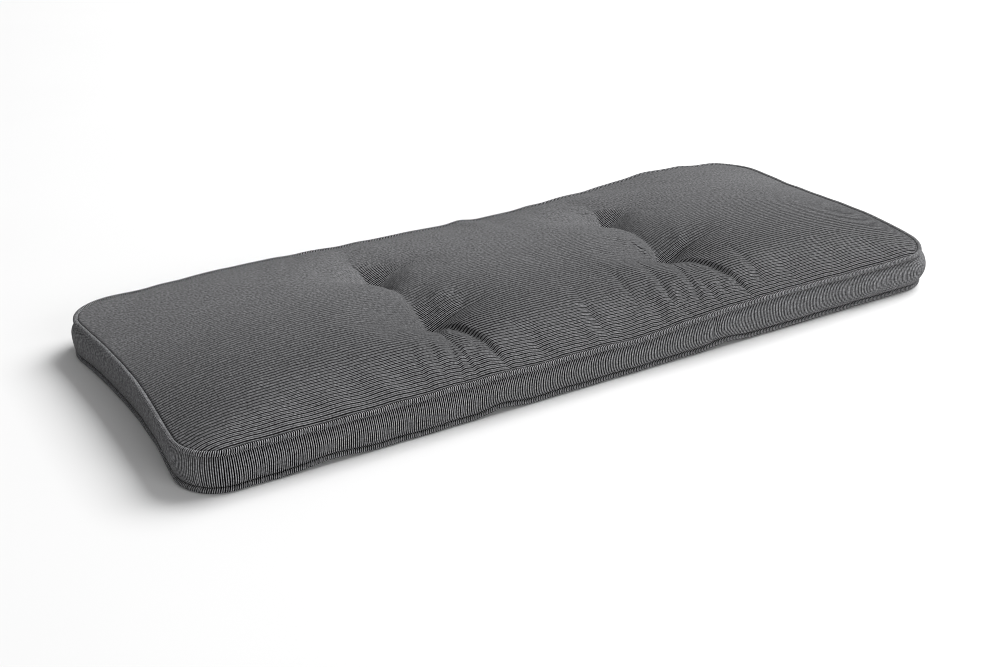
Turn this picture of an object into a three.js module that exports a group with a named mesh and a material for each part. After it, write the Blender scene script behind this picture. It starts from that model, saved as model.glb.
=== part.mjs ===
// A tufted box cushion for a bench, lying on its back: one filled pad, the boxing strip sewn
// round its side, and two runs of piping in the seams. Millimetres, +Z up, +X along the length.
// The origin is the middle of the flat underside.
import * as THREE from 'three';
import { mergeVertices } from 'three/addons/utils/BufferGeometryUtils.js';

// Driving sizes
const cushion = { length: 1200, width: 500, cornerRadius: 65 }; // over the outside of the piping
const piping = { radius: 4.1, sides: 6 };
const seamHeight = { top: 52.7, bottom: 4.6 }; // of the middle of each piping
const crown = { rise: 29, reach: 90 }; // how far the top puffs up, and how quickly from the edge
// The front edge rolls up more steeply, within a short reach of its seam and a longer one of the ends.
const frontRoll = { height: 13, reach: 12, endReach: 45, startsAt: 60, growsOver: 260 };
const boxing = { thickness: 2.2, standsOut: 1, bulge: 5, roundness: 0.7 };
const clearance = 0.3; // between sewn pieces
const facetClearance = 0.15; // more behind the boxing, where both faces are faceted
const underside = { reach: 26, middle: 0.35 }; // from the bottom seam in to where the pad lies flat

// Soft bumps of a seam: where each is centred, how far it reaches along the seam, and how much
// the seam lifts there or stands out.
const topSeamBumps = [
  { x: -595, y: -20, reach: 165, lift: 9, out: -10 },
  { x: -575, y: 225, reach: 60, lift: 1, out: 5 },
  { x: -95, y: -245, reach: 55, lift: -3, out: 0 },
  { x: 45, y: -245, reach: 75, lift: -6, out: 0 },
  { x: 290, y: -245, reach: 130, lift: 4, out: 1 },
  { x: 595, y: -90, reach: 130, lift: 7, out: 0 },
  { x: 600, y: 90, reach: 90, lift: -2, out: -1 },
  { x: 580, y: -225, reach: 50, lift: -2, out: -2 },
  { x: 415, y: 245, reach: 95, lift: 10, out: 0 },
  { x: 580, y: 210, reach: 60, lift: -3, out: -3 },
  { x: 95, y: 245, reach: 100, lift: -3.5, out: -3 },
  { x: 38, y: 245, reach: 18, lift: 3, out: 0 },
  { x: -350, y: 245, reach: 170, lift: 8, out: 0 },
];
const bottomSeamBumps = [
  { x: -595, y: -10, reach: 160, lift: 1, out: -15.5 },
  { x: -595, y: -115, reach: 36, lift: 5, out: 1 },
  { x: -595, y: 120, reach: 60, lift: 0, out: -2 },
  { x: -575, y: 225, reach: 60, lift: 1.5, out: 7 },
  { x: -415, y: -245, reach: 34, lift: 5, out: 0 },
  { x: -175, y: -245, reach: 26, lift: 5, out: 0 },
  { x: 192, y: -245, reach: 34, lift: 4.5, out: 0 },
  { x: 250, y: 245, reach: 40, lift: 4, out: 0 },
  { x: -210, y: 245, reach: 36, lift: 4, out: 0 },
];

// Where the boxing swells further out than elsewhere
const extraBulges = [
  { x: 595, y: -80, reach: 190, more: 4 },
  { x: 590, y: -190, reach: 75, more: 5 },
  { x: 380, y: -245, reach: 150, more: 1.5 },
  { x: -600, y: -40, reach: 170, more: -2 },
  { x: -580, y: 215, reach: 70, more: 2.5 },
];

// The four tufts, each a point where the top is stitched down.
const tufts = [
  { x: -196, y: -94, depth: 20 },
  { x: -197, y: 82, depth: 20 },
  { x: 201, y: -80, depth: 20 },
  { x: 217, y: 94, depth: 20 },
];
const tuftStar = { alongX: 95, alongY: 74, power: 2 }; // how far its folds run

// The troughs across the width, one through each pair of tufts, which part the top in three pads.
const troughs = [
  { x: -196, depth: 9, atEdge: 4, halfWidth: 78 },
  { x: 211, depth: 10, atEdge: 4, halfWidth: 78 },
];
const troughPower = 1.5; // how sharply the sides of a trough fall
const troughSpan = { full: 82, frontFade: 95, backFade: 45 }; // how far a trough stays deep, then fades
const foldSoftness = 3; // how round the bottom of a trough or fold is
const opening = { softness: 60, over: 60 }; // how a fold opens out behind its tuft

// Creases that run out from the tufts to both sides, to the front and to the back, and along the
// valleys between them. The middle of each bows to its left. Its sides are steep or gentle.
const creases = [
  { from: [-194, 80], to: [-191, 0], bow: 3, deepStart: 8, deepEnd: 4, halfLeft: 40, halfRight: 12 },
  { from: [-191, 0], to: [-196, -90], bow: -2, deepStart: 4, deepEnd: 7, halfLeft: 40, halfRight: 12 },
  { from: [217, 92], to: [199, -80], bow: 12, deepStart: 9, deepEnd: 7, halfLeft: 45, halfRight: 12 },
  { from: [-196, 82], to: [-120, 86], bow: 4, deepStart: 7, deepEnd: 0, halfLeft: 38, halfRight: 14 },
  { from: [-199, 82], to: [-268, 80], bow: -3, deepStart: 5, deepEnd: 0, halfLeft: 14, halfRight: 24 },
  { from: [-196, 84], to: [-208, 172], bow: 0, deepStart: 6, deepEnd: 0, halfLeft: 18, halfRight: 26 },
  { from: [-194, -95], to: [-100, -91], bow: 4, deepStart: 8, deepEnd: 0, halfLeft: 40, halfRight: 14 },
  { from: [-199, -95], to: [-270, -101], bow: 4, deepStart: 5, deepEnd: 0, halfLeft: 14, halfRight: 24 },
  { from: [-184, -100], to: [-160, -240], bow: 4, deepStart: 4, deepEnd: 4, halfLeft: 14, halfRight: 22 },
  { from: [218, 95], to: [284, 97], bow: 4, deepStart: 7, deepEnd: 0, halfLeft: 38, halfRight: 14 },
  { from: [215, 95], to: [150, 97], bow: -3, deepStart: 4, deepEnd: 0, halfLeft: 14, halfRight: 24 },
  { from: [218, 96], to: [232, 175], bow: 0, deepStart: 6, deepEnd: 0, halfLeft: 18, halfRight: 26 },
  { from: [203, -81], to: [296, -74], bow: 4, deepStart: 8, deepEnd: 0, halfLeft: 40, halfRight: 14 },
  { from: [198, -80], to: [130, -83], bow: -3, deepStart: 5, deepEnd: 0, halfLeft: 14, halfRight: 24 },
  { from: [214, -92], to: [250, -240], bow: 5, deepStart: 4, deepEnd: 4, halfLeft: 14, halfRight: 22 },
];
const creaseEnd = 9; // how soon a crease fades past its ends

// How finely the outline and the top are divided
const segments = { long: 54, short: 18, halfCorner: 5 };
const crowding = { strength: 1.6, reach: 60 }; // of the segments near the tufts

const halfLength = cushion.length / 2 - piping.radius;
const halfWidth = cushion.width / 2 - piping.radius;
const seamRadius = cushion.cornerRadius - piping.radius;

// Angles round a piping in its cross-section, in degrees: 0 points out and 90 up.
const grooveAngles = [140, 170, 200, 228];
const stripEndAngles = [240, 260, 280];
const widestGrooveStep = 30;
const grooveRadius =
  (piping.radius + clearance) / Math.cos(THREE.MathUtils.degToRad(widestGrooveStep / 2));
const boxingSteps = [0.25, 0.5, 0.75];

// |value| with a rounded bottom
function softAbs(value, softness = foldSoftness) {
  return Math.hypot(value, softness) - softness;
}

// Fractions from 0 to 1 that crowd together near the given places between low and high.
function crowdedFractions(count, low, high, places) {
  const samples = 400;
  const closeness = (position, place) => Math.exp(-(((position - place) / crowding.reach) ** 2));
  const weightAt = (position) =>
    1 + crowding.strength * places.reduce((sum, place) => sum + closeness(position, place), 0);
  const running = [0];
  for (let k = 1; k <= samples; k++) {
    const position = low + ((high - low) * (k - 0.5)) / samples;
    running.push(running[k - 1] + weightAt(position));
  }
  const fractions = [];
  for (let k = 0; k <= count; k++) {
    const wanted = (running[samples] * k) / count;
    const above = Math.max(1, running.findIndex((value) => value >= wanted - 1e-9));
    const within = (wanted - running[above - 1]) / (running[above] - running[above - 1]);
    fractions.push((above - 1 + within) / samples);
  }
  return fractions;
}

// One side of the seam line, from the middle of one round corner to the middle of the next.
function sidePath(turn, halfRun, distance, crowdedPlaces, count) {
  const run = halfRun - seamRadius;
  const path = new THREE.Path();
  path.absarc(-run, -distance + seamRadius, seamRadius, -0.75 * Math.PI, -0.5 * Math.PI, false);
  path.lineTo(run, -distance);
  path.absarc(run, -distance + seamRadius, seamRadius, -0.5 * Math.PI, -0.25 * Math.PI, false);
  const cornerLength = (seamRadius * Math.PI) / 4;
  const wholeLength = 2 * cornerLength + 2 * run;
  const places = [];
  for (let k = 0; k < segments.halfCorner; k++) {
    places.push((cornerLength * k) / segments.halfCorner);
  }
  for (const fraction of crowdedFractions(count, -run, run, crowdedPlaces)) {
    places.push(cornerLength + 2 * run * fraction);
  }
  for (let k = 1; k <= segments.halfCorner; k++) {
    places.push(cornerLength + 2 * run + (cornerLength * k) / segments.halfCorner);
  }
  return places.map((place) => {
    const at = Math.min(1, place / wholeLength);
    const point = path.getPointAt(at).rotateAround(new THREE.Vector2(), turn);
    const tangent = path.getTangentAt(at).rotateAround(new THREE.Vector2(), turn);
    return { x: point.x, y: point.y, outX: tangent.y, outY: -tangent.x };
  });
}

const tuftColumns = troughs.map((trough) => trough.x);
const tuftRows = [tufts[0].y, tufts[1].y];
const quarter = Math.PI / 2;
const sides = [
  sidePath(0, halfLength, halfWidth, tuftColumns, segments.long),
  sidePath(quarter, halfWidth, halfLength, tuftRows, segments.short),
  sidePath(2 * quarter, halfLength, halfWidth, tuftColumns.map((x) => -x), segments.long),
  sidePath(3 * quarter, halfWidth, halfLength, tuftRows, segments.short),
];
const stations = sides.flatMap((side) => side.slice(0, -1)); // counter-clockwise from above

// From 1 at the middle of a bump down to 0 well beyond its reach.
function nearness(station, bump) {
  const away = Math.hypot(station.x - bump.x, station.y - bump.y) / bump.reach;
  return Math.exp(-away * away);
}

// The middle of a piping beside one station.
function seamPoint(station, height, bumps) {
  const lift = bumps.reduce((sum, bump) => sum + bump.lift * nearness(station, bump), 0);
  const out = bumps.reduce((sum, bump) => sum + bump.out * nearness(station, bump), 0);
  return new THREE.Vector3(station.x + station.outX * out, station.y + station.outY * out, height + lift);
}

// A point in the cross-section at one station, out and up from a centre.
function sectionPoint(station, centre, out, up) {
  return new THREE.Vector3(centre.x + station.outX * out, centre.y + station.outY * out, centre.z + up);
}

function roundPoint(station, centre, radius, degrees) {
  const angle = THREE.MathUtils.degToRad(degrees);
  return sectionPoint(station, centre, radius * Math.cos(angle), radius * Math.sin(angle));
}

const topSeam = stations.map((station) => seamPoint(station, seamHeight.top, topSeamBumps));
const bottomSeam = stations.map((station) => seamPoint(station, seamHeight.bottom, bottomSeamBumps));

// A loop round the cushion: the same place of the cross-section at every station.
function loopAt(placeAt) {
  return stations.map((station, k) => placeAt(station, topSeam[k], bottomSeam[k]));
}

// The boxing's curve between the pipings, at a depth inwards from its outer face.
function boxingLoops(depth) {
  return boxingSteps.map((step) =>
    loopAt((station, top, bottom) => {
      const middle = top.clone().lerp(bottom, step);
      const extra = extraBulges.reduce((sum, bulge) => sum + bulge.more * nearness(station, bulge), 0);
      const swell = (boxing.bulge + extra) * Math.sin(Math.PI * step) ** boxing.roundness;
      return sectionPoint(station, middle, boxing.standsOut + swell - depth, 0);
    }),
  );
}

// How deep the deepest crease lies at a point: deepest along its line, and fading past both ends.
function creaseDepth(x, y) {
  return creases.reduce((deepest, crease) => {
    const runX = crease.to[0] - crease.from[0];
    const runY = crease.to[1] - crease.from[1];
    const length = Math.hypot(runX, runY);
    const along = ((x - crease.from[0]) * runX + (y - crease.from[1]) * runY) / (length * length);
    const share = THREE.MathUtils.clamp(along, 0, 1);
    const bowed = crease.bow * 4 * share * (1 - share);
    const left = ((y - crease.from[1]) * runX - (x - crease.from[0]) * runY) / length - bowed;
    const across = Math.max(0, 1 - softAbs(left) / (left > 0 ? crease.halfLeft : crease.halfRight));
    const past = ((along - share) * length) / creaseEnd;
    const depth = THREE.MathUtils.lerp(crease.deepStart, crease.deepEnd, share);
    return Math.max(deepest, depth * across ** 2 * Math.exp(-past * past));
  }, 0);
}

// How deep the folds of the tufts and troughs lie at a point of the top.
function foldDepth(x, y, edgeShare) {
  let depth = 0;
  for (const trough of troughs) {
    const across = Math.max(0, 1 - softAbs(x - trough.x) / trough.halfWidth);
    const fade = y < 0 ? troughSpan.frontFade : troughSpan.backFade;
    const past = Math.max(0, Math.abs(y) - troughSpan.full) / fade;
    const along = trough.atEdge + (trough.depth - trough.atEdge) * Math.exp(-past * past);
    depth += along * across ** troughPower * edgeShare;
  }
  for (const tuft of tufts) {
    const beyond = THREE.MathUtils.clamp((y - tuft.y) / opening.over, 0, 1);
    const awayX = softAbs(x - tuft.x, foldSoftness + opening.softness * beyond) / tuftStar.alongX;
    const awayY = softAbs(y - tuft.y) / tuftStar.alongY;
    depth += tuft.depth * Math.max(0, 1 - awayX - awayY) ** tuftStar.power;
  }
  return depth;
}

// How far the top stands above its rim, at a point this far from the nearest end and side seams.
function crownHeight(x, y, fromEnd, fromSide) {
  const endShare = 1 - Math.exp(-fromEnd / crown.reach);
  const sideShare = 1 - Math.exp(-fromSide / crown.reach);
  const endRoll = 1 - Math.exp(-fromEnd / frontRoll.endReach);
  const edgeShare = endRoll * (1 - Math.exp(-fromSide / frontRoll.reach));
  const roll = frontRoll.height * THREE.MathUtils.smoothstep(frontRoll.startsAt - y, 0, frontRoll.growsOver);
  const risen = (crown.rise - roll) * endShare * sideShare + roll * edgeShare;
  return risen - foldDepth(x, y, sideShare) * endShare - creaseDepth(x, y) * edgeShare;
}

// The crowned top as a grid of points whose rim is the given loop.
function topGrid(rim) {
  const columns = segments.long + 2 * segments.halfCorner;
  const rows = segments.short + 2 * segments.halfCorner;
  const front = rim.slice(0, columns + 1);
  const right = rim.slice(columns, columns + rows + 1);
  const back = rim.slice(columns + rows, 2 * columns + rows + 1).reverse();
  const left = [...rim.slice(2 * columns + rows), rim[0]].reverse();
  const grid = [];
  for (let j = 0; j <= rows; j++) {
    const v = (right[j].y - right[0].y) / (right[rows].y - right[0].y);
    grid.push([]);
    for (let i = 0; i <= columns; i++) {
      const u = (front[i].x - front[0].x) / (front[columns].x - front[0].x);
      const point = new THREE.Vector3();
      point.addScaledVector(front[i], 1 - v).addScaledVector(back[i], v);
      point.addScaledVector(left[j], 1 - u).addScaledVector(right[j], u);
      point.addScaledVector(front[0], -(1 - u) * (1 - v)).addScaledVector(front[columns], -u * (1 - v));
      point.addScaledVector(back[0], -(1 - u) * v).addScaledVector(back[columns], -u * v);
      const fromEnd = Math.min(u, 1 - u) * 2 * halfLength;
      const fromSide = Math.min(v, 1 - v) * 2 * halfWidth;
      point.z += crownHeight(point.x, point.y, fromEnd, fromSide);
      grid[j].push(point);
    }
  }
  for (let i = 0; i <= columns; i++) {
    grid[0][i] = front[i];
    grid[rows][i] = back[i];
  }
  for (let j = 0; j <= rows; j++) {
    grid[j][0] = left[j];
    grid[j][columns] = right[j];
  }
  return grid;
}

// Collects triangles and gives them back as one closed surface.
class Surface {
  constructor() {
    this.positions = [];
  }

  triangle(a, b, c) {
    for (const corner of [a, b, c]) this.positions.push(corner.x, corner.y, corner.z);
  }

  quad(a, b, c, d) {
    this.triangle(a, b, c);
    this.triangle(a, c, d);
  }

  // Joins one loop to the next one further out or down.
  band(inner, outer) {
    for (let k = 0; k < inner.length; k++) {
      const next = (k + 1) % inner.length;
      this.quad(inner[k], outer[k], outer[next], inner[next]);
    }
  }

  // The same with its quads split the other way, so that it lies evenly against a facing surface.
  facingBand(inner, outer) {
    for (let k = 0; k < inner.length; k++) {
      const next = (k + 1) % inner.length;
      this.quad(outer[k], outer[next], inner[next], inner[k]);
    }
  }

  bands(loops) {
    for (let k = 0; k + 1 < loops.length; k++) this.band(loops[k], loops[k + 1]);
  }

  facingBands(loops) {
    for (let k = 0; k + 1 < loops.length; k++) this.facingBand(loops[k], loops[k + 1]);
  }

  patch(grid) {
    for (let j = 0; j + 1 < grid.length; j++) {
      for (let i = 0; i + 1 < grid[j].length; i++) {
        this.quad(grid[j][i], grid[j][i + 1], grid[j + 1][i + 1], grid[j + 1][i]);
      }
    }
  }

  // Closes a flat loop with a fan round the middle.
  flatCap(loop) {
    const middle = new THREE.Vector3();
    for (let k = 0; k < loop.length; k++) this.triangle(loop[k], middle, loop[(k + 1) % loop.length]);
  }

  geometry() {
    const loose = new THREE.BufferGeometry();
    loose.setAttribute('position', new THREE.Float32BufferAttribute(this.positions, 3));
    const whole = mergeVertices(loose, 1e-4);
    whole.computeVertexNormals();
    return whole;
  }
}

// The filled pad: crowned top, a groove for each piping, the side behind the boxing, flat underside.
function padGeometry() {
  const topGroove = grooveAngles.map((degrees) =>
    loopAt((station, top) => roundPoint(station, top, grooveRadius, degrees)),
  );
  const bottomGroove = [...grooveAngles].reverse().map((degrees) =>
    loopAt((station, top, bottom) => roundPoint(station, bottom, grooveRadius, -degrees)),
  );
  const undersideLoop = (share) =>
    loopAt((station, top, bottom) => {
      const start = roundPoint(station, bottom, grooveRadius, -grooveAngles[0]);
      const inwards = underside.reach * share;
      return new THREE.Vector3(
        start.x - station.outX * inwards,
        start.y - station.outY * inwards,
        start.z * (1 - share) ** 2,
      );
    });
  const surface = new Surface();
  surface.patch(topGrid(topGroove[0]));
  surface.bands([
    ...topGroove,
    ...boxingLoops(boxing.thickness + clearance + facetClearance),
    ...bottomGroove,
    undersideLoop(underside.middle),
    undersideLoop(1),
  ]);
  surface.flatCap(undersideLoop(1));
  return surface.geometry();
}

// The boxing strip: a band of cloth between the pipings, bulging with the fill behind it.
function boxingGeometry() {
  const upperEnd = stripEndAngles.map((degrees) =>
    loopAt((station, top) => roundPoint(station, top, grooveRadius, degrees)),
  );
  const lowerEnd = [...stripEndAngles].reverse().map((degrees) =>
    loopAt((station, top, bottom) => roundPoint(station, bottom, grooveRadius, -degrees)),
  );
  const inner = boxingLoops(boxing.thickness).reverse();
  const surface = new Surface();
  surface.bands([...upperEnd, ...boxingLoops(0), ...lowerEnd]);
  surface.facingBands([lowerEnd[lowerEnd.length - 1], ...inner, upperEnd[0]]);
  return surface.geometry();
}

// A run of piping, closed on itself.
function pipingGeometry(seam) {
  const loops = [];
  for (let side = 0; side < piping.sides; side++) {
    const degrees = 90 - (360 * (side + 0.5)) / piping.sides;
    loops.push(stations.map((station, k) => roundPoint(station, seam[k], piping.radius, degrees)));
  }
  const surface = new Surface();
  surface.bands([...loops, loops[0]]);
  return surface.geometry();
}

const stripedCloth = { roughness: 0.92, metalness: 0 };
const padCloth = new THREE.MeshStandardMaterial({ color: 0x5c5c5e, ...stripedCloth });
const boxingCloth = new THREE.MeshStandardMaterial({ color: 0x525254, ...stripedCloth });
const pipingCloth = new THREE.MeshStandardMaterial({ color: 0x4a4a4c, ...stripedCloth });

function piece(name, geometry, material) {
  const mesh = new THREE.Mesh(geometry, material);
  mesh.name = name;
  return mesh;
}

const benchCushion = new THREE.Group();
benchCushion.add(
  piece('filled_pad', padGeometry(), padCloth),
  piece('boxing_strip', boxingGeometry(), boxingCloth),
  piece('piping_top', pipingGeometry(topSeam), pipingCloth),
  piece('piping_bottom', pipingGeometry(bottomSeam), pipingCloth),
);

// The origin goes under the middle of the whole cushion.
const middle = new THREE.Box3().setFromObject(benchCushion).getCenter(new THREE.Vector3());
for (const mesh of benchCushion.children) mesh.geometry.translate(-middle.x, -middle.y, 0);

export default benchCushion;
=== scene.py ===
import math
import bpy
import numpy as np
from mathutils import Euler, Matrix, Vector


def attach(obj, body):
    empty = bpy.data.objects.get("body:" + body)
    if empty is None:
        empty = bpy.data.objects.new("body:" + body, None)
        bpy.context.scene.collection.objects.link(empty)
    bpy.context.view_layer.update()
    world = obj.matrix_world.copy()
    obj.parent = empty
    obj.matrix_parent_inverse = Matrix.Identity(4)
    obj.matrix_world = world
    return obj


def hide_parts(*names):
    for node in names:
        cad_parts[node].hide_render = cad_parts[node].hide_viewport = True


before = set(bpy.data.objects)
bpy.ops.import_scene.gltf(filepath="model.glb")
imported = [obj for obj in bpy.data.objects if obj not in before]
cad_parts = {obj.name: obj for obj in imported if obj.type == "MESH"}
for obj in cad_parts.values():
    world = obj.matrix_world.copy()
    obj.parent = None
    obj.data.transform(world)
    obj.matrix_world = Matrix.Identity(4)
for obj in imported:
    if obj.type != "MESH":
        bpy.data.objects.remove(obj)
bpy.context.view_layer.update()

scene = bpy.context.scene
mm = 0.001
placeScale = 0.01                                             # of places on the cut cloth, kept in the mesh

# the same named sizes as the solids, in millimetres, with the piping drawn a little finer
cushion = dict(length=1200, width=500, cornerRadius=65, pipingRadius=3.6, topSeam=53.0, bottomSeam=4.2)
cushion["halfLength"] = cushion["length"] / 2 - cushion["pipingRadius"]
cushion["halfWidth"] = cushion["width"] / 2 - cushion["pipingRadius"]
cushion["seamRadius"] = cushion["cornerRadius"] - cushion["pipingRadius"]

# soft bumps of a seam: x, y, how far it reaches, how much it lifts the seam, how far it pushes it out
topSeamBumps = [
    (-595, -20, 165, 9, -10), (-575, 225, 60, 1, 5), (-95, -245, 55, -3, 0), (45, -245, 75, -6, 0),
    (290, -245, 130, 4, 1), (595, -90, 130, 7, 0), (415, 245, 95, 10, 0), (580, 210, 60, -3, -3),
    (600, 90, 90, -2, -1), (580, -225, 50, -2, -2),
    (95, 245, 100, -3.5, -3), (38, 245, 18, 3, 0), (-350, 245, 170, 8, 0)]
bottomSeamBumps = [
    (-595, -20, 155, 1, -13.5), (-595, -115, 36, 5, 0), (-575, 225, 60, 1.5, 9), (-415, -245, 34, 5, 0),
    (-175, -245, 26, 5, 0), (192, -245, 34, 4.5, 0), (250, 245, 40, 4, 0), (-210, 245, 36, 4, 0)]
seamWaver = dict(height=0.3, length=55, seed=3)               # the small unevenness of a sewn seam
lowestBottomSeam = cushion["pipingRadius"] + 0.2              # keeps the bottom piping above the floor

# how many stations lie along each part of the seam, and how they crowd near the valleys and the tufts
stationing = dict(long=268, short=94, corner=11, crowdReach=65, crowding=1.1,
                  valleys=(-199, 213), tuftRows=(-92, 92))


def nearness(x, y, bump):
    return np.exp(-((x - bump[0]) ** 2 + (y - bump[1]) ** 2) / bump[2] ** 2)


# places from -run to run, closer together near the given ones
def crowded(run, count, places):
    fine = np.linspace(-run, run, 2001)
    near = sum(np.exp(-((fine - place) / stationing["crowdReach"]) ** 2) for place in places)
    density = 1 + stationing["crowding"] * near
    total = np.concatenate([[0], np.cumsum((density[1:] + density[:-1]) / 2)])
    return np.interp(np.arange(count) / count * total[-1], total, fine)


# stations along the seam, counter-clockwise from the middle of the front left corner
def seamStations():
    r = cushion["seamRadius"]
    cornerCount = stationing["corner"]
    sides = [(cushion["halfLength"], cushion["halfWidth"], stationing["long"]),
             (cushion["halfWidth"], cushion["halfLength"], stationing["short"])] * 2
    turnedValleys = [-place for place in reversed(stationing["valleys"])]
    crowdPlaces = [stationing["valleys"], stationing["tuftRows"], turnedValleys, stationing["tuftRows"]]
    found = []
    for side, (halfRun, distance, count) in enumerate(sides):
        run = halfRun - r
        turn = np.arange(cornerCount) / cornerCount * math.pi / 4
        a = -0.75 * math.pi + turn
        x = np.concatenate([-run + r * np.cos(a), crowded(run, count, crowdPlaces[side]),
                            run + r * np.sin(turn)])
        y = np.concatenate([-distance + r + r * np.sin(a), np.full(count, -distance),
                            -distance + r - r * np.cos(turn)])
        outX = np.concatenate([np.cos(a), np.zeros(count), np.sin(turn)])
        outY = np.concatenate([np.sin(a), np.full(count, -1.0), -np.cos(turn)])
        c, s = [(1, 0), (0, 1), (-1, 0), (0, -1)][side]
        found.append(np.stack([x * c - y * s, x * s + y * c, outX * c - outY * s, outX * s + outY * c], 1))
    table = np.concatenate(found)
    return dict(x=table[:, 0], y=table[:, 1], outX=table[:, 2], outY=table[:, 3],
                columns=stationing["long"] + 2 * cornerCount, rows=stationing["short"] + 2 * cornerCount)


def seamLine(at, height, bumps):
    lift = sum(b[3] * nearness(at["x"], at["y"], b) for b in bumps)
    lift = lift + seamWaver["height"] * waves(at["x"], at["y"], seamWaver["length"], seamWaver["seed"])
    out = sum(b[4] * nearness(at["x"], at["y"], b) for b in bumps)
    return np.stack([at["x"] + at["outX"] * out, at["y"] + at["outY"] * out, height + lift], 1)


# smooth random waves of about one length, from a fixed seed; its values spread by about 1 round 0
def waves(x, y, length, seed, count=16):
    random = np.random.default_rng(seed)
    shortest, longest = 0.7, 1.5                              # times the given length
    turn, start = random.uniform(0, 2 * math.pi, (2, count))
    pace = 2 * math.pi / length / random.uniform(shortest, longest, count)
    return sum(np.sin(k * (x * math.cos(a) + y * math.sin(a)) + b)
               for k, a, b in zip(pace, turn, start)) * math.sqrt(2 / count)


def section(at, centre, out, up):
    out, up = np.broadcast_to(out, len(centre)), np.broadcast_to(up, len(centre))
    return centre + np.stack([at["outX"] * out, at["outY"] * out, up], 1)


def roundSection(at, centre, radius, degrees):
    a = math.radians(degrees)
    return section(at, centre, radius * math.cos(a), radius * math.sin(a))


# a patch of rows and columns inside a closed rim, blended from its four sides
def patchInside(rim, columns, rows):
    front, right = rim[:columns + 1], rim[columns:columns + rows + 1]
    back = rim[columns + rows:2 * columns + rows + 1][::-1]
    left = np.concatenate([rim[2 * columns + rows:], rim[:1]])[::-1]
    u = ((front[:, 0] - front[0, 0]) / (front[-1, 0] - front[0, 0]))[None, :, None]
    v = ((right[:, 1] - right[0, 1]) / (right[-1, 1] - right[0, 1]))[:, None, None]
    grid = front[None] * (1 - v) + back[None] * v + left[:, None] * (1 - u) + right[:, None] * u
    grid = grid - front[0] * (1 - u) * (1 - v) - front[-1] * u * (1 - v)
    grid = grid - back[0] * (1 - u) * v - back[-1] * u * v
    grid[0], grid[-1], grid[:, 0], grid[:, -1] = front, back, left, right
    return grid, u[0, :, 0], v[:, 0, 0]


at = seamStations()
columns, rows, stationCount = at["columns"], at["rows"], len(at["x"])
topSeam = seamLine(at, cushion["topSeam"], topSeamBumps)
bottomSeam = seamLine(at, cushion["bottomSeam"], bottomSeamBumps)
bottomSeam[:, 2] = np.maximum(bottomSeam[:, 2], lowestBottomSeam)
flatSeam = np.stack([at["x"], at["y"], at["x"] * 0], 1)
ringStep = np.linalg.norm(np.roll(flatSeam, -1, 0) - flatSeam, axis=1)
ringPlace = np.concatenate([[0], np.cumsum(ringStep)])        # how far along the seam, start to end


# the mesh of one sewn piece: loops and grids of points with their place on the cut cloth
class Cloth:
    def __init__(self):
        self.points, self.faces, self.places, self.gaps = [], [], [], []
        self.count = 0

    def add(self, points):
        points = np.asarray(points, float).reshape(-1, 3)
        self.points.append(points)
        self.count += len(points)
        return np.arange(self.count - len(points), self.count)

    # four-sided faces between rows of points; places is (rows, columns, 2) on the cut cloth, and gaps
    # tells how far the gaps between the ribs open there and how clearly the closed ones show
    def quads(self, ids, places, flip=False, gaps=None):
        gaps = np.ones(places.shape) if gaps is None else gaps
        corners = [(slice(None, -1), slice(None, -1)), (slice(None, -1), slice(1, None)),
                   (slice(1, None), slice(1, None)), (slice(1, None), slice(None, -1))]
        if flip:
            corners = [corners[k] for k in (0, 3, 2, 1)]
        self.faces.append(np.stack([ids[corner] for corner in corners], -1).reshape(-1, 4))
        self.places.append(np.stack([places[corner] for corner in corners], -2).reshape(-1, 2))
        self.gaps.append(np.stack([gaps[corner] for corner in corners], -2).reshape(-1, 2))

    def make(self, name, material, node):
        points = np.concatenate(self.points) * mm
        faces = np.concatenate(self.faces)
        places = np.concatenate(self.places)
        mesh = bpy.data.meshes.new(name)
        mesh.vertices.add(len(points))
        mesh.vertices.foreach_set("co", points.astype(np.float32).ravel())
        mesh.loops.add(faces.size)
        mesh.loops.foreach_set("vertex_index", faces.astype(np.int32).ravel())
        mesh.polygons.add(len(faces))
        mesh.polygons.foreach_set("loop_start", np.arange(0, faces.size, 4, dtype=np.int32))
        mesh.update(calc_edges=True)
        mesh.polygons.foreach_set("use_smooth", np.ones(len(faces), bool))
        layer = mesh.uv_layers.new(name="clothPlace")
        layer.data.foreach_set("uv", (places * placeScale).astype(np.float32).ravel())
        layer = mesh.uv_layers.new(name="gapState")
        layer.data.foreach_set("uv", np.concatenate(self.gaps).astype(np.float32).ravel())
        mesh.materials.append(material)
        obj = bpy.data.objects.new(name, mesh)
        scene.collection.objects.link(obj)
        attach(obj, "root")
        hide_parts(node)
        return obj


# a socket of a material's nodes, so that sums are written as sums
class Wire:
    def __init__(self, board, socket):
        self.board, self.socket = board, socket

    def calc(self, operation, *values):
        return self.board.node("ShaderNodeMath", dict(operation=operation), dict(enumerate(values)))

    def __add__(self, other):
        return self.calc("ADD", self, other)

    def __radd__(self, other):
        return self.calc("ADD", other, self)

    def __sub__(self, other):
        return self.calc("SUBTRACT", self, other)

    def __rsub__(self, other):
        return self.calc("SUBTRACT", other, self)

    def __mul__(self, other):
        return self.calc("MULTIPLY", self, other)

    def __rmul__(self, other):
        return self.calc("MULTIPLY", other, self)

    def cosine(self):
        return self.calc("COSINE", self)

    # from 0 at low to 1 at high
    def ease(self, low, high):
        settings = dict(interpolation_type="SMOOTHSTEP")
        sockets = {"Value": self, "From Min": low, "From Max": high}
        return self.board.node("ShaderNodeMapRange", settings, sockets)


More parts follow.
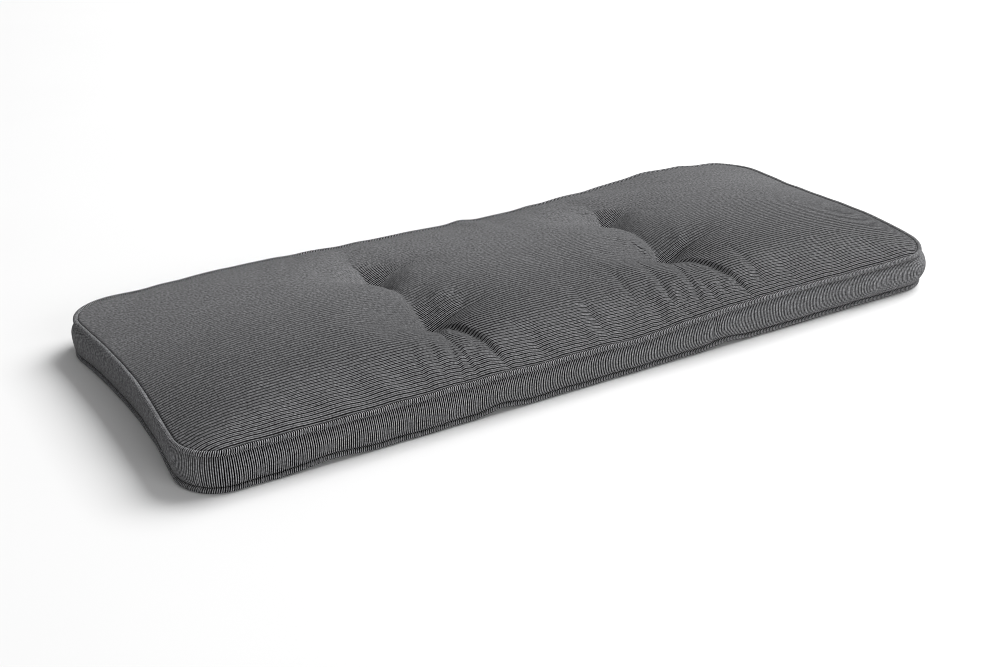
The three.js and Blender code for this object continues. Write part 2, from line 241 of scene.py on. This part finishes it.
# the nodes of one material
class Board:
    def __init__(self, name):
        self.material = bpy.data.materials.new(name)
        self.material.use_nodes = True
        self.tree = self.material.node_tree
        self.shader = self.tree.nodes["Principled BSDF"]

    def put(self, socket, value):
        if isinstance(value, Wire):
            self.tree.links.new(value.socket, socket)
        else:
            socket.default_value = value

    def node(self, kind, settings=None, inputs=None, output=0):
        made = self.tree.nodes.new(kind)
        for key, value in (settings or {}).items():
            setattr(made, key, value)
        for key, value in (inputs or {}).items():
            self.put(made.inputs[key], value)
        return Wire(self, made.outputs[output])

    def noise(self, vector, scale, detail=2.0, roughness=0.5):
        return self.node("ShaderNodeTexNoise", {}, {
            "Vector": vector, "Scale": scale, "Detail": detail, "Roughness": roughness})

    def vector(self, x, y, z=0.0):
        return self.node("ShaderNodeCombineXYZ", {}, {0: x, 1: y, 2: z})

    def mix(self, share, a, b):
        return self.node("ShaderNodeMix", dict(data_type="RGBA"), {"Factor": share, 6: a, 7: b}, 2)


# the striped cloth: in each repeat a black gap, a light rib, a dark gap and another light rib
stripes = dict(
    repeat=5.4,                                               # millimetres from one black gap to the next
    rib=(0.35, 0.35, 0.361, 1), gap=(0.010, 0.010, 0.011, 1), black=(0.0004, 0.0004, 0.0006, 1),
    blackWidth=0.25, ribEdge=(0.42, 0.74), gapEdge=(0.2, 0.55),
    closed=(0.178, 0.178, 0.183, 1),                          # the ribs where they press together
    closedEdge=(0.1, 0.95), closedDepth=0.8, meanDark=0.55,
    wornFrom=-160, wornTo=140, wornBack=0.8,                  # the lines grow faint towards the back
    wander=0.2, slub=1.8, flecks=0.8, yarns=1.3, patch=0.10,
    ribHeight=0.3, ribShare=0.75, relief=0.4, roughness=0.82, roughnessSpread=0.2)

# noises of the cloth: pace along and across the ribs in a millimetre, layer of the noise, detail, roughness
grains = dict(
    drift=(0.02, 0.02, 0.0, 2.0, 0.5), tremble=(0.03, 0.07, 3.0, 1.0, 0.5),
    yarn=(0.42, 1.1, 0.0, 2.0, 0.65), slub=(0.34, 0.21, 7.0, 1.0, 0.5),
    fleck=(1.3, 2.2, 0.0, 1.0, 0.5), cloudy=(0.012, 0.02, 0.0, 3.0, 0.5))


def grain(b, name, along, across):
    paceAlong, paceAcross, layer, detail, roughness = grains[name]
    return b.noise(b.vector(along * paceAlong, across * paceAcross, layer), 1.0, detail, roughness)


def stripedCloth(name, tone):
    b = Board(name)
    place = b.node("ShaderNodeSeparateXYZ", {}, {0: b.node("ShaderNodeUVMap", dict(uv_map="clothPlace"))})
    along = place * (1 / placeScale)
    across = Wire(b, place.socket.node.outputs[1]) * (1 / placeScale)
    drift = grain(b, "drift", along, across) - 0.5
    tremble = grain(b, "tremble", along, across) - 0.5
    line = across + (drift + tremble) * (2 * stripes["wander"])
    turn = line * (2 * math.pi / stripes["repeat"])
    ribs = 0.5 - (turn * 2).cosine() * 0.5                    # 1 on both light ribs, 0 in both gaps
    dark = turn.cosine() * 0.5 + 0.5                          # 1 in the black gap, 0 in the other
    yarn = grain(b, "yarn", along, line)                      # short lights and darks along a rib
    slub = grain(b, "slub", along, across)                    # thicker and thinner yarn
    fleck = grain(b, "fleck", along, line)
    cloudy = grain(b, "cloudy", along, across)
    gapState = b.node("ShaderNodeSeparateXYZ", {}, {0: b.node("ShaderNodeUVMap", dict(uv_map="gapState"))})
    clearness = Wire(b, gapState.socket.node.outputs[1])
    ribShare = (ribs - dark * stripes["blackWidth"]).ease(*stripes["ribEdge"])
    gapColour = b.mix(dark.ease(*stripes["gapEdge"]), stripes["gap"], stripes["black"])
    open = b.mix(ribShare, gapColour, stripes["rib"])
    worn = 1 - across.ease(stripes["wornFrom"], stripes["wornTo"]) * stripes["wornBack"]
    depth = worn * stripes["closedDepth"]
    pressed = b.mix((1 - clearness) * depth * stripes["meanDark"], stripes["closed"], stripes["black"])
    closed = b.mix(dark.ease(*stripes["closedEdge"]) * depth * clearness, pressed, stripes["black"])
    colour = b.mix(gapState, closed, open)
    shade = 1 + (yarn - 0.5) * stripes["yarns"] + (fleck - 0.5) * stripes["flecks"]
    shade = shade * (1 + (slub - 0.5) * stripes["slub"]) * (1 + (cloudy - 0.5) * (2 * stripes["patch"]))
    # tone also holds painted shade and light: it differs between the copies of this cloth for the panel,
    # the boxing and the piping
    shade = shade * tone
    shadeColour = b.vector(shade, shade, shade)
    tinted = b.node("ShaderNodeVectorMath", dict(operation="MULTIPLY"), {0: colour, 1: shadeColour})
    height = ribs * stripes["ribShare"] + yarn * (1 - stripes["ribShare"])
    bump = b.node("ShaderNodeBump", {}, {
        "Strength": stripes["relief"], "Distance": stripes["ribHeight"] * mm, "Height": height})
    b.put(b.shader.inputs["Base Color"], tinted)
    b.put(b.shader.inputs["Roughness"], stripes["roughness"] + (yarn - 0.5) * stripes["roughnessSpread"])
    b.put(b.shader.inputs["Normal"], bump)
    b.put(b.shader.inputs["Specular IOR Level"], 0.0)
    return b.material


# one cloth in three copies whose tones differ: the panel's copy is painted darker than the boxing's and the
# piping's, painted shade and light that stand in for how the light falls on the top and on the sides
panelCloth = stripedCloth("striped_cloth_panel", tone=0.88)
boxingCloth = stripedCloth("striped_cloth_boxing", tone=1.05)
pipingCloth = stripedCloth("striped_cloth_piping", tone=1.05)

# top panel: its crown, its tufts and the folds between them, in millimetres
pad = dict(height=28, reach=90, roll=13, rollReach=12, endRollReach=45, rollStartsAt=60, rollGrowsOver=260,
           lumps=[(0.4, 60, 11), (0.16, 24, 12)])             # lumps: height, length, seed
tufting = dict(foldSoftness=3, creaseSoftness=1.5, creaseEnd=9, starX=95, starY=74, starPower=2.0,
               opensBy=60, opensOver=60, troughPower=1.5, troughFull=82, frontFade=95, backFade=45)
tufts = [(-196, -94, 20), (-197, 82, 20), (201, -80, 20), (217, 94, 20)]       # x, y, depth
troughs = [(-196, 9, 4, 78), (211, 10, 4, 78)]                # x, depth, depth at edge, half width

# folds of the cloth: from x y, to x y, how far the middle bows to the left, depth at either end, half width
# to the left and to the right; the broad ones lie between and behind the tufts and to both sides of them
broadFolds = [
    (-194, 80, -191, 0, 3, 8, 4, 55, 16), (-191, 0, -196, -90, -2, 4, 7, 55, 16),
    (217, 92, 199, -80, 12, 9, 7, 58, 16),
    (-196, 82, -120, 86, 4, 7, 0, 38, 9), (-199, 82, -268, 80, -3, 5, 0, 9, 24),
    (-196, 84, -208, 172, 0, 6, 0, 15, 26),
    (-194, -95, -100, -91, 4, 8, 0, 40, 9), (-199, -95, -270, -101, 4, 5, 0, 9, 24),
    (218, 95, 284, 97, 4, 7, 0, 38, 9), (215, 95, 150, 97, -3, 4, 0, 9, 24),
    (218, 96, 232, 175, 0, 6, 0, 15, 26),
    (203, -81, 296, -74, 4, 8, 0, 40, 9), (198, -80, 130, -83, -3, 5, 0, 9, 24)]
# the narrow ones: the bottom of the left valley, a long fold from each front tuft to the seam in two
# stretches, and the puckers that run in from the front seam
narrowFolds = [
    (-194, 76, -191, 10, 3, 3, 1, 7, 7),
    (-190, -106, -178, -130, 2, 2, 6, 7, 20), (-178, -130, -158, -248, 2, 6, 6, 7, 22),
    (206, -98, 222, -128, 3, 2, 4.5, 5, 18), (222, -128, 242, -248, 3, 4.5, 5, 5, 18),
    (-198, -112, -204, -240, -4, 1.5, 3.6, 7, 14), (-202, -116, -226, -242, 3, 1, 4, 7, 14),
    (-236, -160, -247, -240, 0, 0.5, 3.4, 8, 14), (-262, -165, -274, -238, 0, 0.5, 2.6, 8, 14),
    (-176, -140, -168, -244, 2, 0.5, 3.4, 7, 14), (-112, -170, -98, -240, 0, 0.3, 2.4, 8, 12),
    (140, -100, 121, -222, 3, 1, 3.8, 8, 14), (190, -98, 165, -214, 2, 1.5, 3.2, 8, 14),
    (184, -165, 188, -244, 0, 0.5, 3.6, 7, 14), (86, -84, 74, -196, 3, 0.6, 3.2, 8, 16),
    (10, -96, -1, -215, 2, 0.5, 3.0, 8, 16), (282, -120, 276, -215, 2, 0.6, 3.0, 8, 14),
    (-20, -170, -28, -240, 0, 0.3, 2.2, 8, 12), (322, -180, 330, -240, 0, 0.3, 2.4, 8, 12)]


def softAbs(value, softness):
    return np.sqrt(value ** 2 + softness ** 2) - softness


def foldDepth(x, y, edgeShare):
    depth = np.zeros_like(x)
    fade = np.where(y < 0, tufting["frontFade"], tufting["backFade"])
    past = np.clip(np.abs(y) - tufting["troughFull"], 0, None) / fade
    for troughX, deep, shallow, half in troughs:
        across = np.clip(1 - softAbs(x - troughX, tufting["foldSoftness"]) / half, 0, 1)
        across = across ** tufting["troughPower"]
        depth += (shallow + (deep - shallow) * np.exp(-past ** 2)) * across * edgeShare
    # a star of folds at each tuft, which opens out behind it
    for tuftX, tuftY, deep in tufts:
        beyond = np.clip((y - tuftY) / tufting["opensOver"], 0, 1)
        away = softAbs(x - tuftX, tufting["foldSoftness"] + tufting["opensBy"] * beyond) / tufting["starX"]
        away = away + softAbs(y - tuftY, tufting["foldSoftness"]) / tufting["starY"]
        depth += deep * np.clip(1 - away, 0, 1) ** tufting["starPower"]
    return depth


# how deep the deepest of some folds lies at a point
def creaseDepth(x, y, folds):
    depth = np.zeros_like(x)
    for x0, y0, x1, y1, bow, deepStart, deepEnd, halfLeft, halfRight in folds:
        length = math.hypot(x1 - x0, y1 - y0)
        run = ((x - x0) * (x1 - x0) + (y - y0) * (y1 - y0)) / length ** 2
        share = np.clip(run, 0, 1)
        left = ((y - y0) * (x1 - x0) - (x - x0) * (y1 - y0)) / length - bow * 4 * share * (1 - share)
        half = np.where(left > 0, halfLeft, halfRight)
        across = np.clip(1 - softAbs(left, tufting["creaseSoftness"]) / half, 0, 1)
        pastEnd = np.exp(-(((run - share) * length) / tufting["creaseEnd"]) ** 2)
        depth = np.maximum(depth, (deepStart + (deepEnd - deepStart) * share) * across ** 2 * pastEnd)
    return depth


# the front edge rolls up steeply from its seam, the others rise gently
def crownedTop(rim):
    grid, u, v = patchInside(rim, columns, rows)
    x, y = grid[..., 0], grid[..., 1]
    fromEnd = np.minimum(u, 1 - u)[None, :] * 2 * cushion["halfLength"]
    fromSide = np.minimum(v, 1 - v)[:, None] * 2 * cushion["halfWidth"]
    endShare = 1 - np.exp(-fromEnd / pad["reach"])
    sideShare = 1 - np.exp(-fromSide / pad["reach"])
    edgeShare = (1 - np.exp(-fromEnd / pad["endRollReach"])) * (1 - np.exp(-fromSide / pad["rollReach"]))
    front = np.clip((pad["rollStartsAt"] - y) / pad["rollGrowsOver"], 0, 1)
    roll = pad["roll"] * front ** 2 * (3 - 2 * front)
    rise = (pad["height"] - roll) * endShare * sideShare + roll * edgeShare
    lumps = sum(height * waves(x, y, length, seed) for height, length, seed in pad["lumps"]) * edgeShare
    sunk = foldDepth(x, y, sideShare) * endShare + creaseDepth(x, y, broadFolds) * edgeShare
    grid[..., 2] += rise + lumps - sunk
    return grid, edgeShare


# how the panel settles as cloth; ease is the spare cloth where it lies loosest
settling = dict(
    ease=0.02, easeAll=0.05, byTufts=0.3, tuftReach=60,
    bySeam=0.8, seamPlaces=(-165, 60, 165), seamY=-240, seamReachX=90, seamReachY=45,
    tieRadius=5, levels=20, pressure=2.5, frames=8, quality=8, mass=0.002, damping=3,
    stretch=20, shear=8, bending=0.15)


# 1 where the cloth is cut to size, less beside the tufts and the front seam where it is cut with ease
def snugness(x, y):
    byTufts = sum(np.exp(-np.hypot(x - tuftX, y - tuftY) / settling["tuftReach"])
                  for tuftX, tuftY, _ in tufts)
    loose = settling["easeAll"] + settling["byTufts"] * byTufts
    fromSeam = (np.abs(y - settling["seamY"]) / settling["seamReachY"]) ** 2
    for seamX in settling["seamPlaces"]:
        loose = loose + settling["bySeam"] * np.exp(-((x - seamX) / settling["seamReachX"]) ** 2 - fromSeam)
    return 1 - np.clip(loose, 0, 1)


# lets the panel settle: sewn fast at the rim and the tufts, pushed up by the fill
def settleCloth(grid):
    count = grid.shape[0] * grid.shape[1]
    ids = np.arange(count).reshape(grid.shape[:2])
    faces = np.stack([ids[:-1, :-1], ids[:-1, 1:], ids[1:, 1:], ids[1:, :-1]], -1).reshape(-1, 4)
    mesh = bpy.data.meshes.new("settling")
    mesh.from_pydata((grid.reshape(-1, 3) * mm).tolist(), [], faces.tolist())
    obj = bpy.data.objects.new("settling", mesh)
    scene.collection.objects.link(obj)
    x, y = grid[..., 0].ravel(), grid[..., 1].ravel()
    sewn = [ids[0], ids[-1], ids[:, 0], ids[:, -1]]
    for tuftX, tuftY, _ in tufts:
        sewn.append(np.nonzero(np.hypot(x - tuftX, y - tuftY) < settling["tieRadius"])[0])
    held = obj.vertex_groups.new(name="held")
    held.add(np.unique(np.concatenate(sewn)).tolist(), 1.0, "REPLACE")
    snug = obj.vertex_groups.new(name="snug")
    levels = np.round(snugness(x, y) * settling["levels"])
    for level in range(settling["levels"] + 1):
        snug.add(np.nonzero(levels == level)[0].tolist(), level / settling["levels"], "REPLACE")
    cloth = obj.modifiers.new("cloth", "CLOTH")
    settings = cloth.settings
    settings.quality = settling["quality"]
    settings.mass = settling["mass"]
    settings.air_damping = settling["damping"]
    settings.tension_stiffness = settings.compression_stiffness = settling["stretch"]
    settings.shear_stiffness = settling["shear"]
    settings.bending_stiffness = settling["bending"]
    settings.shrink_min = -settling["ease"]
    settings.shrink_max = 0.0
    settings.vertex_group_shrink = "snug"
    settings.vertex_group_mass = "held"
    settings.use_pressure = True
    settings.uniform_pressure_force = settling["pressure"]
    settings.effector_weights.gravity = 0
    cloth.collision_settings.use_collision = False
    cloth.point_cache.frame_start = 1
    cloth.point_cache.frame_end = settling["frames"]
    for step in range(1, settling["frames"] + 1):
        scene.frame_set(step)
    shaped = obj.evaluated_get(bpy.context.evaluated_depsgraph_get())
    points = np.empty(count * 3, np.float32)
    shaped.data.vertices.foreach_get("co", points)
    bpy.data.objects.remove(obj)
    bpy.data.meshes.remove(mesh)
    scene.frame_set(1)
    return points.reshape(grid.shape).astype(float) / mm


# one coordinate of each point on the flat cut cloth, from the lengths along each row of a grid
def evenAlong(grid, flat, axis):
    out = np.empty(grid.shape[:2])
    for k in range(len(grid)):
        steps = np.linalg.norm(np.diff(grid[k], axis=0), axis=1)
        flatSteps = np.linalg.norm(np.diff(flat[k], axis=0), axis=1)
        shaped = np.concatenate([[0], np.cumsum(steps)])
        cut = np.concatenate([[0], np.cumsum(flatSteps)])
        out[k] = np.interp(shaped / shaped[-1], cut / cut[-1], flat[k, :, axis])
    return out


def clothPlaces(grid, flat):
    x = evenAlong(grid, flat, 0)
    y = evenAlong(grid.swapaxes(0, 1), flat.swapaxes(0, 1), 1).T
    return np.stack([x, y], -1)


# from which tilt to which the gaps open or press together, and how much
gapping = dict(openFrom=0.14, openTo=0.31, leastOpen=0.1, edgeOpen=0.6, tuftReach=100, tuftOpen=0.035,
               tuftClear=0.35, shutFrom=-0.05, shutTo=0.08, bankFrom=0.0, bankTo=0.2, bankFade=0.8)


def shareBetween(value, low, high):
    return np.clip((value - gapping[low]) / (gapping[high] - gapping[low]), 0, 1)


# the gaps open where the cloth is drawn down steeply to a tuft or to the front seam, and they press
# together on the banks that fall into a valley from the left
def panelGaps(grid):
    normal = np.cross(np.gradient(grid, axis=1), np.gradient(grid, axis=0))
    normal /= np.linalg.norm(normal, axis=-1, keepdims=True)
    reach = gapping["tuftReach"]
    near = sum(np.exp(-((grid[..., 0] - tuftX) ** 2 + (grid[..., 1] - tuftY) ** 2) / reach ** 2)
               for tuftX, tuftY, _ in tufts)
    near = np.clip(near, 0, 1)
    beside = np.clip(2 * near, 0, 1)
    tilt = shareBetween(gapping["tuftOpen"] * near - normal[..., 1], "openFrom", "openTo")
    most = gapping["edgeOpen"] + (1 - gapping["edgeOpen"]) * near
    openness = gapping["leastOpen"] + (most - gapping["leastOpen"]) * tilt ** 2 * (3 - 2 * tilt)
    shut = shareBetween(normal[..., 0], "shutFrom", "shutTo")
    bank = shareBetween(normal[..., 0], "bankFrom", "bankTo")
    clearness = (1 + gapping["tuftClear"] * near) * (1 - gapping["bankFade"] * bank * beside)
    return np.stack([openness * (1 - shut * beside), clearness], -1)


# how the edges of the pad tuck in behind the piping; angles are counted round the cord from straight out,
# and clothDepths gives each loop's place beyond the seam on the cut cloth
padEdge = dict(rimClear=0.5, topAngle=152, bottomAngle=215, lowest=0.4, flatBeyond=24,
               sideClear=0.15, upperAngles=(166, 185), lowerAngles=(175, 194),
               drawnIn=-6, drawnInShares=(0.3, 0.7), clothDepths=(0, 2.5, 4, 12, 20, 26, 28, 30))
foldedFurther = [(narrowFolds, 1), (broadFolds, 0.15)]        # folds and their share, after the settling

rim = roundSection(at, topSeam, cushion["pipingRadius"] + padEdge["rimClear"], padEdge["topAngle"])
topGrid, edgeShare = crownedTop(rim)
flatGrid, _, _ = patchInside(flatSeam, columns, rows)
panelPlaces = clothPlaces(topGrid, flatGrid)
topGrid = settleCloth(topGrid)
for folds, share in foldedFurther:
    topGrid[..., 2] -= share * creaseDepth(topGrid[..., 0], topGrid[..., 1], folds) * edgeShare
print("top panel shaped", topGrid.shape, flush=True)


def ringLoop(points):
    return np.concatenate([points, points[:1]])


# two neighbouring loops round the cushion as the two rows of a band of faces
def band(upper, lower):
    return np.stack([ringLoop(lower), ringLoop(upper)])


def rimIds(ids):
    return np.concatenate([ids[0, :-1], ids[:-1, -1], ids[-1, :0:-1], ids[:0:-1, 0]])


# how far the gaps of the boxing and the piping open: widely along the long sides, less round the ends and
# less towards the right end
ringOpening = dict(round=0.6, along=0.4, lessAtRight=0.4, turnFrom=0.5, turnOver=0.45)
alongSide = np.clip((np.abs(at["outY"]) - ringOpening["turnFrom"]) / ringOpening["turnOver"], 0, 1)
towardsRight = np.clip(at["x"] / (cushion["length"] / 2), 0, 1)
ringOpenness = ringLoop(ringOpening["round"] + ringOpening["along"] * alongSide
                        - ringOpening["lessAtRight"] * towardsRight)
ringGaps = np.tile(np.stack([ringOpenness, np.ones_like(ringOpenness)], -1), (2, 1, 1))


# sews a strip round the cushion; across tells where each of its loops lies across the cut strip
def sewStrip(cloth, ids, across, slant=0.0):
    for k in range(len(ids) - 1):
        places = [np.stack([np.full(stationCount + 1, a), ringPlace + slant * a], 1)
                  for a in (across[k + 1], across[k])]
        cloth.quads(band(ids[k], ids[k + 1]), np.stack(places), gaps=ringGaps)


def filledPad():
    cloth = Cloth()
    topIds = cloth.add(topGrid).reshape(rows + 1, columns + 1)
    cloth.quads(topIds, panelPlaces, gaps=panelGaps(topGrid))
    rimRadius = cushion["pipingRadius"] + padEdge["rimClear"]
    bottomRim = roundSection(at, bottomSeam, rimRadius, padEdge["bottomAngle"])
    bottomRim[:, 2] = np.maximum(bottomRim[:, 2], padEdge["lowest"])
    under, u, v = patchInside(bottomRim, columns, rows)
    inward = np.minimum(np.minimum(u, 1 - u)[None, :] * 2 * cushion["halfLength"],
                        np.minimum(v, 1 - v)[:, None] * 2 * cushion["halfWidth"])
    under[..., 2] *= np.clip(1 - inward / padEdge["flatBeyond"], 0, 1) ** 2
    underIds = cloth.add(under).reshape(rows + 1, columns + 1)
    cloth.quads(underIds, flatGrid[..., :2], flip=True)
    tucked = cushion["pipingRadius"] + padEdge["sideClear"]
    loops = [roundSection(at, topSeam, tucked, a) for a in padEdge["upperAngles"]]
    for s in padEdge["drawnInShares"]:
        loops.append(section(at, topSeam * (1 - s) + bottomSeam * s, padEdge["drawnIn"], 0))
    loops += [roundSection(at, bottomSeam, tucked, a) for a in padEdge["lowerAngles"]]
    ring = [rimIds(topIds)] + [cloth.add(loop) for loop in loops] + [rimIds(underIds)]
    outward = np.stack([at["outX"], at["outY"]], 1)
    places = [flatSeam[:, :2] + outward * depth for depth in padEdge["clothDepths"]]
    for k in range(len(ring) - 1):
        cloth.quads(band(ring[k], ring[k + 1]), band(places[k], places[k + 1]))
    obj = cloth.make("filled_pad_cloth", panelCloth, "filled_pad")


# boxing strip: it swells between its seams, tucks in behind the piping and is lined on its inner side
boxing = dict(bulge=5.5, tuckTop=-2.4, tuckBottom=-0.4, roundness=0.6, skew=1.12, steps=18,
              seamClear=0.2, seamAngles=(180, 200, 222), grooveClear=0.3,
              uneven=0.14, unevenOver=60, unevenLength=70, unevenSeed=21,
              liningAt=-3.5, liningShares=(0.85, 0.5, 0.15), liningEnd=8)
# its join seam: where it dents the front side, how deep and how wide, and how it leans and wavers
join = dict(x=166, dent=2.2, reach=4.5, lean=6, waver=1.2, waverPace=9, fromFront=5)
# further bulges and hollows of it: x, y, how far each reaches, how far it stands out
extraBulges = [
    (595, -80, 190, 4), (590, -190, 75, 5), (380, -245, 150, 1.5),
    (-600, -40, 170, -2), (-580, 215, 70, 2.5)]


def boxingStrip():
    cloth = Cloth()
    extra = sum(b[3] * nearness(at["x"], at["y"], b) for b in extraBulges)
    tucked = cushion["pipingRadius"] + boxing["seamClear"]
    groove = cushion["pipingRadius"] + boxing["grooveClear"]
    high = topSeam - [0, 0, groove]
    low = bottomSeam + [0, 0, groove]
    onFront = at["y"] < -cushion["halfWidth"] + join["fromFront"]
    loops = [roundSection(at, topSeam, tucked, a) for a in boxing["seamAngles"]]
    for k in range(boxing["steps"]):
        s = (k + 0.5) / boxing["steps"]
        ripple = waves(ringPlace[:-1], s * boxing["unevenOver"], boxing["unevenLength"],
                       boxing["unevenSeed"])
        tuck = boxing["tuckTop"] * (1 - s) + boxing["tuckBottom"] * s
        swell = (boxing["bulge"] + extra) * (1 + boxing["uneven"] * ripple) - tuck
        joinX = join["x"] + join["lean"] * s + join["waver"] * math.sin(join["waverPace"] * s)
        dent = join["dent"] * np.exp(-((at["x"] - joinX) / join["reach"]) ** 2) * onFront
        out = tuck + swell * math.sin(math.pi * s ** boxing["skew"]) ** boxing["roundness"] - dent
        loops.append(section(at, high * (1 - s) + low * s, out, 0))
    loops += [roundSection(at, bottomSeam, tucked, -a) for a in reversed(boxing["seamAngles"])]
    for s in boxing["liningShares"]:
        loops.append(section(at, topSeam * (1 - s) + bottomSeam * s, boxing["liningAt"], 0))
    steps = [np.linalg.norm(b - a, axis=1).mean() for a, b in zip(loops, loops[1:])]
    down = np.concatenate([[0], np.cumsum(steps + [boxing["liningEnd"]])])
    ids = [cloth.add(loop) for loop in loops]
    sewStrip(cloth, ids + ids[:1], -down)
    cloth.make("boxing_strip_cloth", boxingCloth, "boxing_strip")


# piping: a cord covered with a strip whose ribs slant round it
cord = dict(sides=14, slant=0.25)


def pipingRun(name, seam, node):
    cloth = Cloth()
    angles = [90 - 360 * (k + 0.5) / cord["sides"] for k in range(cord["sides"])]
    ids = [cloth.add(roundSection(at, seam, cushion["pipingRadius"], a)) for a in angles]
    around = [2 * math.pi * cushion["pipingRadius"] * k / cord["sides"] for k in range(cord["sides"] + 1)]
    sewStrip(cloth, ids + ids[:1], around, cord["slant"])
    cloth.make(name, pipingCloth, node)


filledPad()
boxingStrip()
pipingRun("piping_top_cloth", topSeam, "piping_top")
pipingRun("piping_bottom_cloth", bottomSeam, "piping_bottom")
print("pieces made", flush=True)

# the camera that was fitted to the seam lines of the photo; places in metres, focal length in its pixels
view = dict(x=-1.0026, y=-1.6747, z=0.9237, turnX=1.11462, turnY=0.01323, turnZ=-0.53166, focal=1455.86,
            photoWidth=1000, sensorWidth=36)
camera = bpy.data.objects.new("camera", bpy.data.cameras.new("camera"))
scene.collection.objects.link(camera)
camera.location = (view["x"], view["y"], view["z"])
camera.rotation_euler = Euler((view["turnX"], view["turnY"], view["turnZ"]), "XYZ")
camera.data.sensor_width = view["sensorWidth"]
camera.data.lens = view["focal"] * view["sensorWidth"] / view["photoWidth"]
scene.camera = camera

# a wide pale floor, in metres
paleFloor = dict(reach=30, darker=(0.86, 0.86, 0.86, 1), lighter=(0.88, 0.88, 0.88, 1), mottling=3.0,
                 roughness=0.9, corners=[(-1, -1), (1, -1), (1, 1), (-1, 1)])
floorBoard = Board("pale_floor")
mottle = floorBoard.noise(floorBoard.node("ShaderNodeTexCoord", {}, {}, 3), paleFloor["mottling"])
floorColour = floorBoard.mix(mottle, paleFloor["darker"], paleFloor["lighter"])
floorBoard.put(floorBoard.shader.inputs["Base Color"], floorColour)
floorBoard.put(floorBoard.shader.inputs["Roughness"], paleFloor["roughness"])
floorCorners = [(x * paleFloor["reach"], y * paleFloor["reach"], 0) for x, y in paleFloor["corners"]]
floorMesh = bpy.data.meshes.new("floor")
floorMesh.from_pydata(floorCorners, [], [(0, 1, 2, 3)])
floorMesh.materials.append(floorBoard.material)
floor = bpy.data.objects.new("floor", floorMesh)
scene.collection.objects.link(floor)

# soft light from all sides, a large softbox from the right and a small one from the front
surround = dict(colour=(1, 1, 1, 1), strength=0.30)
lamps = [dict(name="key_light", place=(7.2, 0.8, 7.6), size=(7.0, 7.0), power=1440),
         dict(name="front_light", place=(1.2, -6.0, 2.6), size=(4.0, 2.0), power=110)]
filterWidth = 1.0                                             # in pixels; it keeps the fine stripes crisp

world = bpy.data.worlds.new("studio")
scene.world = world
world.use_nodes = True
background = world.node_tree.nodes["Background"]
background.inputs["Color"].default_value = surround["colour"]
background.inputs["Strength"].default_value = surround["strength"]
scene.view_settings.view_transform = "Standard"
scene.cycles.filter_width = filterWidth


# an area lamp turned towards the middle of the scene
def softbox(name, place, size, power):
    data = bpy.data.lights.new(name, "AREA")
    data.shape = "RECTANGLE"
    data.size = size[0]
    data.size_y = size[1]
    data.energy = power
    lamp = bpy.data.objects.new(name, data)
    scene.collection.objects.link(lamp)
    lamp.location = place
    lamp.rotation_euler = Vector(place).to_track_quat("Z", "Y").to_euler()


for lamp in lamps:
    softbox(**lamp)
print("camera, floor and light set", flush=True)
